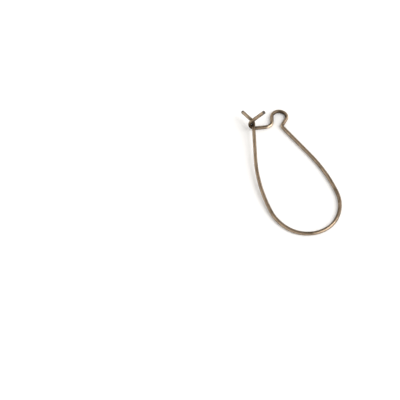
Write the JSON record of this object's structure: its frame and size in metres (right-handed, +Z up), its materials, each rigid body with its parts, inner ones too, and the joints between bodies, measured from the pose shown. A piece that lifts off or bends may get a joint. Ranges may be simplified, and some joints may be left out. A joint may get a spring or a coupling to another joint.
{
  "type": "kidney ear wire",
  "caption": "Kidney-shaped ear wire bent from one length of round wire, fastened: hoop, drop loop below a kink, and a raised catch that holds the pierce end.",
  "frame": {"origin": "on the surface the wire lies on, below the middle of its overall box", "axes": "+Z up from the flat of the hoop, +Y along the hoop from its round end to the drop loop and the catch"},
  "size_m": [0.0166, 0.0374, 0.0059],
  "materials": {
    "bronze_wire": "drawn round wire with an antique bronze patina, rubbed brighter along its high sides, darker in the tight bends"
  },
  "bodies": {
    "root": {"ear_wire": "bronze_wire"}
  },
  "joints": []
}
